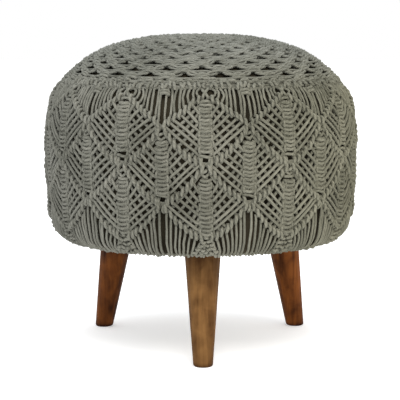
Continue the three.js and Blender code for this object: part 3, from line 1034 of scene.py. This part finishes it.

# %% [markdown]
# ## Stained wood
# The legs are turned from a warm hardwood and stained. The grain runs up each leg as long thin streaks, and
# the stain takes unevenly, in soft blotches, as it does on plain hardwood. Shade is painted into the wood at
# the top of each leg, under the seat, and in a thin band at the foot. No two legs are cut from the same
# board, so each has its own pair of colours, and the two rear legs are redder. A photograph of wood could be
# used instead, but noise on Object coordinates runs through the leg like real grain, without a seam.

# %% Wood materials
LEG_FINISHES = {
    # dark colour, light colour, height in metres where the painted shade under the seat starts
    "leg_front": ((0.05, 0.02, 0.005), (0.18, 0.09, 0.03), 0.13),
    "leg_left": ((0.024, 0.006, 0.0015), (0.145, 0.045, 0.009), 0.12),
    "leg_right": ((0.03, 0.008, 0.0015), (0.185, 0.057, 0.011), 0.125),
}
GRAIN_STRETCH = (70, 70, 6)
GRAIN = {"Scale": 1.7, "Detail": 6, "Distortion": 0.8}
GRAIN_SHARE = 0.45
GRAIN_BUMP = {"Strength": 0.12, "Distance": 0.0006}
BLOTCHES = {"Scale": 38, "Detail": 4, "Distortion": 0.4}
BLOTCH_SHARE = 0.6
WOOD_STOPS = (0.34, 0.68)
# painted shade at the top of each leg under the seat, and in a thin band at the foot
SEAT_SHADE_BLEND = 0.02
PAINTED_SEAT_SHADE = 0.16
PAINTED_FOOT_SHADE_HEIGHT = 0.006
PAINTED_FOOT_SHADE = 0.2


def stained_wood(name, dark, light, painted_shade_height):
    """A streaked and blotched wood, with painted shade above the given height under the seat, and at the
    foot.
    """
    wood = Finish("stained_wood_" + name)
    place = wood.node("TexCoord", {}, "Object")
    stretched = wood.node("Mapping", {"Vector": place, "Scale": GRAIN_STRETCH})
    grain = wood.node("TexNoise", {"Vector": stretched, **GRAIN})
    blotches = wood.node("TexNoise", {"Vector": place, **BLOTCHES})
    blend = wood.maths("MULTIPLY_ADD", grain, GRAIN_SHARE, wood.maths("MULTIPLY", blotches, BLOTCH_SHARE))
    height = wood.node("SeparateXYZ", {0: place}, 2)
    # painted shade: darker at the top of the leg, under the seat, and at the foot
    above = {1: painted_shade_height - SEAT_SHADE_BLEND, 2: painted_shade_height + SEAT_SHADE_BLEND, 3: 0, 4: PAINTED_SEAT_SHADE}
    at_foot = {1: PAINTED_FOOT_SHADE_HEIGHT, 2: 0, 3: 0, 4: PAINTED_FOOT_SHADE}
    shade = wood.maths("SUBTRACT", blend, wood.node("MapRange", {0: height, **above}))
    shade = wood.maths("SUBTRACT", shade, wood.node("MapRange", {0: height, **at_foot}))
    bump = wood.node("Bump", {"Height": grain, **GRAIN_BUMP})
    colour = wood.ramp(shade, list(zip(WOOD_STOPS, (dark, light))))
    return wood.surface(colour, roughness=0.6, specular=0.06, bump=bump)


for name, finish in LEG_FINISHES.items():
    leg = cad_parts[name]
    leg.data.materials.clear()
    leg.data.materials.append(stained_wood(name, *finish))

# %% [markdown]
# ## Stage
# The stool stands on a plain pale floor, as in a studio. The floor is one big sheet that glows faintly,
# like the sheet of a light table, so the shadow under the seat stays pale. The sky is white, so the
# background is nearly white too.

# %% Stage
FLOOR_HALF = 12
FLOOR_COLOUR = (0.95, 0.95, 0.95, 1)
FLOOR_ROUGHNESS = 0.9
FLOOR_GLOW = 0.35
SKY_STRENGTH = 1.0
WHITE = (1, 1, 1, 1)

mesh = bpy.data.meshes.new("floor")
sheet = bmesh.new()
bmesh.ops.create_grid(sheet, x_segments=1, y_segments=1, size=FLOOR_HALF)
sheet.to_mesh(mesh)
sheet.free()
floor = bpy.data.objects.new("floor", mesh)
bpy.context.scene.collection.objects.link(floor)
paper = Finish("pale_floor")
paper.shader.inputs["Base Color"].default_value = FLOOR_COLOUR
paper.shader.inputs["Roughness"].default_value = FLOOR_ROUGHNESS
paper.shader.inputs["Emission Color"].default_value = WHITE
paper.shader.inputs["Emission Strength"].default_value = FLOOR_GLOW
mesh.materials.append(paper.material)

world = bpy.data.worlds.new("sky")
bpy.context.scene.world = world
world.use_nodes = True
sky = world.node_tree.nodes["Background"]
sky.inputs["Color"].default_value = WHITE
sky.inputs["Strength"].default_value = SKY_STRENGTH
print("floor:", 2 * max(vertex.co.x for vertex in mesh.vertices), "m wide")

# %% [markdown]
# ## Lamps
# The white sky alone would leave the cords flat, and a sun would give them hard shadows, so four large
# area lamps are added. The one on the left is a little cool and the one on the right a little warm. The
# strongest stands in front and above, so that each cord has a bright upper side and a dark gap below it,
# and a cool one over the seat lights the crown.

# %% Lamps
LAMPS = [
    # place, size, power in watts, colour
    ((-1.2, -1.4, 1.6), 0.9, 2.5, (0.84, 0.92, 1)),
    ((1.4, -1.3, 1.3), 0.9, 7, (1, 0.86, 0.66)),
    ((0.1, -1.5, 1.9), 0.9, 27, (1, 0.985, 0.97)),
    ((0, 0.4, 2.2), 1.4, 14, (0.78, 0.9, 1)),
]
LAMP_TARGET = Vector((0, 0, 0.25))

for i, (place, size, power, colour) in enumerate(LAMPS):
    lamp = bpy.data.objects.new(f"lamp_{i}", bpy.data.lights.new(f"lamp_{i}", "AREA"))
    lamp.data.size = size
    lamp.data.energy = power
    lamp.data.color = colour
    lamp.location = place
    lamp.rotation_euler = (LAMP_TARGET - lamp.location).to_track_quat("-Z", "Y").to_euler()
    bpy.context.scene.collection.objects.link(lamp)
bpy.context.scene.view_settings.view_transform = "Standard"
print(len(LAMPS), "lamps")
